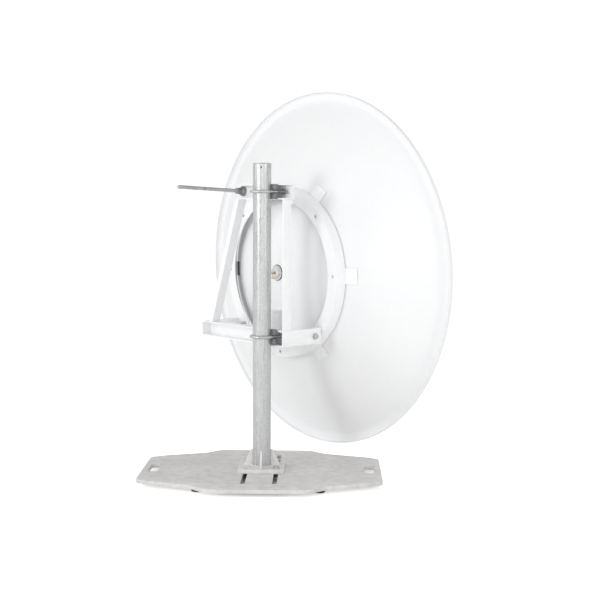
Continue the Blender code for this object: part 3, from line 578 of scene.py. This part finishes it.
# ---------------------------------------------------------------- dish
def reflector():
    """The spun skin with its gutter and rolled lip, as one closed section."""
    count = 44
    stations = [HUB_HOLE + (BOWL_EDGE - 0.004 - HUB_HOLE) * i / count for i in range(count + 1)]
    back, front = [], []
    for r in stations:
        lean = tilt(r)
        back.append((r, bowl_back(r)))
        front.append((r - SKIN * math.sin(lean), bowl_back(r) + SKIN * math.cos(lean)))
    gutter = [(0.5655, -0.0006), (0.5685, 0.0010), (0.572, 0.0021), (0.580, 0.0029), (0.588, 0.0029),
              (0.5925, 0.0023), (0.5958, 0.0004), (0.5972, -0.0025), (0.5975, -0.0095),
              (0.5978, -0.0113), (0.5987, -0.0120), (0.5996, -0.0113), (RIM_RADIUS, -0.0095),
              (RIM_RADIUS, -0.0005), (0.5992, 0.0026), (0.5975, 0.0046), (0.5950, 0.0054),
              (0.572, 0.0053), (0.5665, 0.0046)]
    profile = back + gutter + list(reversed(front))
    mesh = turned("reflector", profile, 224, closed=True)
    piece("reflector_fine", mesh, DISH @ FORWARD, "dish", DISH_WHITE, ["reflector"], 50)


def spoke(angle, radius, y):
    return Vector((radius * math.cos(angle), y, radius * math.sin(angle)))


def ring_feet(bm):
    """Six plates that lie on the bowl and the risers that join them to the ring's wall."""
    for i in range(6):
        spin = Matrix.Rotation(math.pi * i / 3, 4, "Y")
        place = (spin @ Matrix.Translation((FEET_RADIUS, bowl_back(FEET_RADIUS) - 0.0022, 0))
                 @ Matrix.Rotation(tilt(FEET_RADIUS), 4, "Z"))
        outline = [(-0.0215, -0.025), (0.016, -0.025), (0.0188, -0.0238), (0.020, -0.021),
                   (0.020, 0.021), (0.0188, 0.0238), (0.016, 0.025), (-0.0215, 0.025)]
        skin(bm, [[place @ Vector((x, y, z)) for x, z in outline] for y in (-0.00125, 0.00125)])
        box(bm, (RING_OUTER - 0.0032, RING_FRONT - 0.006, -0.0248),
            (RING_OUTER + 0.0012, bowl_back(RING_OUTER) - 0.0022, 0.0248), spin)


def ring_holes(bm):
    for i in range(8):
        centre = spoke(math.pi * i / 4, HOLE_CIRCLE, 0)
        skin(bm, [[centre + Vector((p.x, y, p.y)) for p in ring_row(RING_HOLE, 0, 24)]
                  for y in (RING_REAR - 0.01, RING_REAR + 0.02)])


def mounting_ring():
    wall = 0.003
    profile = [(RING_OUTER + 0.0018, RING_FRONT), (RING_OUTER + 0.0002, RING_REAR + 0.0020),
               (RING_OUTER - 0.0004, RING_REAR + 0.0006), (RING_OUTER - 0.0018, RING_REAR),
               (RING_INNER + 0.0005, RING_REAR), (RING_INNER, RING_REAR + 0.0005),
               (RING_INNER, RING_REAR + wall), (RING_OUTER - wall - 0.0015, RING_REAR + wall),
               (RING_OUTER - wall, RING_REAR + wall + 0.0015),
               (RING_OUTER + 0.0018 - wall, RING_FRONT)]
    ring = turned("ring", profile, 192, closed=True)
    ring.transform(FORWARD)
    mesh = shaped(ring, ("UNION", mesh_from("feet", ring_feet)),
                  ("DIFFERENCE", mesh_from("drill", ring_holes)))
    piece("mounting_ring_fine", mesh, DISH, "dish", WHITE, ["mounting_ring"], 40)


def ring_rivets():
    """Two rivets through each of the ring's feet."""
    head = [(0.0036, 0.0), (0.0036, 0.0004), (0.0031, 0.0013), (0.0020, 0.0019), (0.0006, 0.0021)]
    mesh = turned("rivet", head, 20)
    lean = tilt(RIVET_RADIUS)
    for i in range(6):
        spin = Matrix.Rotation(-math.pi * i / 3, 4, "Y")
        for k, side in enumerate((-RIVET_SIDE, RIVET_SIDE)):
            at = spin @ Vector((RIVET_RADIUS, bowl_back(RIVET_RADIUS) - 0.00355, side))
            out = spin.to_3x3() @ Vector((math.sin(lean), -math.cos(lean), 0))
            piece(f"ring_rivet_{i}_{k}", mesh, DISH @ along(at, out), "dish", WHITE, ())


def painted_shade_patch():
    """A black patch of painted shade on the bowl just inside the ring at its left foot, where the gap
    under the ring lies in shadow; x counts outward.
    """
    outline = [(-0.0010, -0.024), (0.0, -0.0245), (0.0075, -0.0245), (0.0085, -0.024),
               (0.0085, 0.024), (0.0075, 0.0245), (0.0, 0.0245), (-0.0010, 0.024)]
    start = bowl_back(SHADE_PATCH_RADIUS)
    rows = [[Vector((-SHADE_PATCH_RADIUS - x, start + SHADE_PATCH_SLOPE * x - lift, z)) for x, z in outline]
            for lift in (0.0004, 0.0022)]
    # the black rubber finish here is painted shade standing in for the shadowed gap, not a real pad
    piece("painted_shade_patch", mesh_from("shade_patch", lambda bm: skin(bm, rows)), DISH, "dish", RUBBER, ())


def dish_hardware():
    """The pivot lugs, the rod's fork, and the bolts and pin that go with them."""
    for node in ("pivot_lug_left", "pivot_lug_right", "rod_clevis"):
        softened(node, WHITE, "dish", 0.0007)
    screw = bolt_mesh(0.016, 0.0064, 0.0095, 0.0015, 0.005, 0.013)
    for name, number in (("top", 2), ("left", 5), ("right", 7)):
        at = spoke(math.pi * number / 4, HOLE_CIRCLE, LUG_REAR - GAP)
        piece(f"ring_bolt_{name}_fine", screw, DISH @ along(at, (0, -1, 0)), "dish", ZINC,
              [f"ring_bolt_{name}"])
    pin = bolt_mesh(0.012, 0.004, 0.0065, 0.001, 0.004, 0.026, 0.00125, plain=0.021)
    at = Vector((ROD_X - EYE_HALF - SHEET - 2 * GAP, PIN_IN_DISH.y, PIN_IN_DISH.z))
    piece("clevis_pin_fine", pin, DISH @ along(at, (-1, 0, 0)), "dish", ZINC, ["clevis_pin"])


def feed():
    back = bowl_back(0.027) - GAP
    disc = back - 0.0012 - GAP
    # a black rubber gasket under the hub's flange; its rim, left a little wider than the flange, also
    # paints the thin dark crescent of shade round the flange
    gasket = [(0.0266, back), (0.027, back - 0.0004), (0.0268, back - 0.0011),
              (0.0155, back - 0.0012), (0.0155, back)]
    piece("hub_gasket_fine", turned("gasket", gasket, 64, closed=True),
          DISH @ FORWARD, "dish", RUBBER, ["hub_gasket"])
    hub = [(0.0005, HUB_REAR + 0.0008), (0.0060, HUB_REAR + 0.0008), (0.0064, HUB_REAR),
           (0.0140, HUB_REAR), (0.0155, HUB_REAR + 0.0002), (0.0162, HUB_REAR + 0.0008),
           (0.0165, HUB_REAR + 0.0018), (0.0165, disc - 0.0030), (0.0170, disc - 0.0024),
           (0.0245, disc - 0.0021), (0.0252, disc - 0.0015), (0.0252, disc - 0.0003), (0.0248, disc),
           (0.0150, disc), (0.0150, 0.149), (0.0145, 0.150), (0.0005, 0.150)]
    piece("feed_tube_fine", turned("hub", hub, 64), DISH @ FORWARD, "dish",
          TURNED, ["feed_tube"])
    front = bowl_back(HUB_HOLE) + SKIN + 0.0035
    collar = [(0.0235, front), (0.024, front - 0.0005), (0.024, front - 0.0028),
              (0.0153, front - 0.0028), (0.0153, front)]
    piece("hub_nut_fine", turned("collar", collar, 64, closed=True),
          DISH @ FORWARD, "dish", TURNED, ["hub_nut"])
    start = 0.150 + GAP
    cone = [(0.0005, start), (0.0160, start)]
    for i in range(24):
        t = i / 23
        radius = 0.0165 + 0.0055 * t ** 0.8 + 0.018 * t ** 2
        groove = 0.0007 if i % 4 in (1, 2) and 2 < i < 22 else 0.0
        cone.append((radius - groove, start + 0.051 * t))
    cone += [(0.0400, 0.2020), (0.0397, 0.2040), (0.0385, 0.205), (0.0005, 0.205)]
    piece("feed_cone_fine", turned("cone", cone, 96), DISH @ FORWARD, "dish",
          PLASTIC, ["feed_cone"])
    start = 0.205 + GAP
    cap = [(0.0005, start), (0.042, start), (0.0428, start + 0.0006), (0.043, start + 0.0016),
           (0.043, start + 0.003), (0.041, start + 0.006), (0.034, start + 0.0093),
           (0.026, start + 0.0125), (0.018, start + 0.0149), (0.010, start + 0.0156),
           (0.0005, start + 0.0158)]
    piece("sub_reflector_fine", turned("cap", cap, 96), DISH @ FORWARD, "dish",
          TURNED, ["sub_reflector"])

    def socket(bm):
        skin(bm, hex_rows(0.0078, 0.0, 0.003, sides=36))
        rows = [(0.0034, 0.0029)]
        rows += [(0.0037 if i % 2 else 0.0033, 0.0032 + 0.0044 * i / 10) for i in range(11)]
        rows += [(0.0035, 0.0080), (0.0027, 0.0080), (0.0027, 0.0054), (0.0003, 0.0054)]
        skin(bm, [ring_row(r, z, 36) for r, z in rows])
    socket_mesh = mesh_from("socket", socket)
    way = Vector((-0.63, 0, -0.777))
    for name, at, out in (("rear", Vector((0, HUB_REAR - GAP, 0)), (0, -1, 0)),
                          ("side", Vector((0, -0.2049, 0)) + way * (0.0165 + GAP), way)):
        place = DISH @ along(at, out)
        piece(f"feed_connector_{name}_fine", socket_mesh, place, "dish", GOLD,
              [f"feed_connector_{name}"])


# ---------------------------------------------------------------- elevation rod
def along_rod(y_world):
    return (PIN.y - RIM.y - y_world) / math.cos(RISE)


def elevation_rod():
    half = EYE_HALF
    rod = mesh_from("shaft", lambda bm: thread(bm, 0.006, -ROD_LENGTH, -0.012, 0.00175, 0.0009, 24))
    rod.transform(FORWARD)
    eye = [(0.0043, -half), (0.0110, -half), (0.0115, -half + 0.0005), (0.0115, half - 0.0005),
           (0.0110, half), (0.0043, half)]
    eye_mesh = turned("eye", eye, 48, closed=True)
    eye_mesh.transform(Matrix.Rotation(math.pi / 2, 4, "Y"))
    whole = bmesh.new()
    whole.from_mesh(rod)
    whole.from_mesh(eye_mesh)
    whole.to_mesh(rod)
    whole.free()
    piece("elevation_rod_fine", rod, ROD, "elevation_rod", ROD_ZINC, ["elevation_rod"])
    rear, front = -along_rod(WEB_REAR - ROD_CLEAR), -along_rod(FRAME_FRONT + ROD_CLEAR)
    cone = [(0.0056, rear), (0.0160, rear), (0.0165, rear - 0.0004), (0.0165, rear - 0.0036),
            (0.0160, rear - 0.0046), (0.0119, rear - 0.0121), (0.0112, rear - CONE),
            (0.0056, rear - CONE)]
    piece("taper_washer_fine", turned("cone", cone, 64, closed=True),
          ROD @ FORWARD, "rod_nuts", DARK_ZINC, ["taper_washer"])
    piece("rod_nut_rear_fine", nut_mesh(0.019, 0.014, 0.0112, 0.001, 0.0056),
          ROD @ along((0, rear - CONE - GAP, 0), (0, -1, 0)), "rod_nuts", DARK_ZINC,
          ["rod_nut_rear"])
    piece("rod_nut_front_fine", nut_mesh(0.019, 0.009, 0.0115, 0.001, 0.0056),
          ROD @ along((0, front + WASHER + GAP, 0), (0, 1, 0)), "rod_nuts", DARK_ZINC,
          ["rod_nut_front"])
    washer = [(0.0063, front), (0.0127, front), (0.013, front + 0.0003),
              (0.013, front + WASHER - 0.0003), (0.0127, front + WASHER), (0.0063, front + WASHER)]
    piece("flat_washer_fine", turned("washer", washer, 48, closed=True),
          ROD @ FORWARD, "rod_nuts", DARK_ZINC, ["flat_washer"])


for make in (stand, mast, mount_frame, reflector, mounting_ring, ring_rivets, painted_shade_patch,
             dish_hardware, feed, elevation_rod):
    make()


# ---------------------------------------------------------------- studio
AMBIENT, BACKDROP = 0.69, 1.1
FLOOR_GLOW, FLOOR_GLOW_SEEN = 0.06, 0.5
CAMERA_AT, CAMERA_LENS = (2.862, -2.286, 0.856), 66.83
CAMERA_RIGHT, CAMERA_AHEAD = (0.6504, 0.7596, 0.0041), (-0.7567, 0.6483, -0.0847)
# name, place, size, power
LAMPS = (("right", (3.9, 0.1, 1.5), 1.5, 19), ("near", (3.5, -2.6, 1.1), 2.0, 14),
         ("behind", (0.4, -4.3, 1.5), 1.3, 44), ("left", (-2.2, -3.2, 2.2), 1.8, 24),
         ("front", (0.4, 3.6, 2.2), 2.6, 16))


def backdrop():
    """A white world that lights the scene less than it shows behind it."""
    world = bpy.data.worlds.new("studio")
    bpy.context.scene.world = world
    world.use_nodes = True
    tree = world.node_tree
    shown = tree.nodes["Background"]
    lighting = tree.nodes.new("ShaderNodeBackground")
    for node, strength in ((shown, BACKDROP), (lighting, AMBIENT)):
        node.inputs["Color"].default_value = (1, 1, 1, 1)
        node.inputs["Strength"].default_value = strength
    ray, mixed = tree.nodes.new("ShaderNodeLightPath"), tree.nodes.new("ShaderNodeMixShader")
    tree.links.new(ray.outputs["Is Camera Ray"], mixed.inputs[0])
    tree.links.new(lighting.outputs[0], mixed.inputs[1])
    tree.links.new(shown.outputs[0], mixed.inputs[2])
    tree.links.new(mixed.outputs[0], tree.nodes["World Output"].inputs[0])


def paper_floor():
    """Pale paper that glows a little, but not where the stand shades it."""
    paper = Finish("paper", (0.95, 0.95, 0.95), 0.9, Emission_Color=(1, 1, 1, 1))
    paper.tint(paper.noise(3), (0.93, 0.93, 0.93), 0.5)
    near = paper.scaled((1, 1, 1), shift=(-MAST_X, -RIM.y - MAST_Y, 0))
    away = paper.make("ShaderNodeVectorMath", {0: near}, operation="LENGTH").outputs["Value"]
    camera_ray = paper.make("ShaderNodeLightPath").outputs["Is Camera Ray"]
    seen = paper.stretch(camera_ray, 0, 1, FLOOR_GLOW, FLOOR_GLOW_SEEN)
    glow = paper.make("ShaderNodeMath", {0: paper.stretch(away, 0.16, 0.27), 1: seen},
                      operation="MULTIPLY").outputs[0]
    paper.tree.links.new(glow, paper.shader.inputs["Emission Strength"])
    floor_mesh = mesh_from("floor", lambda bm: bmesh.ops.create_grid(bm, x_segments=2, y_segments=2,
                                                                     size=14))
    floor_mesh.materials.append(paper.done(spread=0.05))
    floor = bpy.data.objects.new("floor", floor_mesh)
    bpy.context.scene.collection.objects.link(floor)


def studio_lamps():
    middle = Vector((0, 0, 0.6))
    for name, place, size, power in LAMPS:
        lamp = bpy.data.lights.new(name, "AREA")
        lamp.shape, lamp.size, lamp.energy = "DISK", size, power
        light = bpy.data.objects.new(name, lamp)
        light.location = place
        light.rotation_euler = (middle - Vector(place)).to_track_quat("-Z", "Y").to_euler()
        bpy.context.scene.collection.objects.link(light)


def studio_camera():
    lens = bpy.data.cameras.new("camera")
    lens.lens, lens.sensor_width = CAMERA_LENS, 36
    camera = bpy.data.objects.new("camera", lens)
    right, ahead = Vector(CAMERA_RIGHT).normalized(), Vector(CAMERA_AHEAD).normalized()
    turn = Matrix((right, right.cross(ahead), -ahead)).transposed().to_4x4()
    camera.matrix_world = Matrix.Translation(CAMERA_AT) @ turn
    bpy.context.scene.collection.objects.link(camera)
    bpy.context.scene.camera = camera


bpy.context.scene.view_settings.view_transform = "Standard"
for make in (backdrop, paper_floor, studio_lamps, studio_camera):
    make()
bpy.context.view_layer.update()
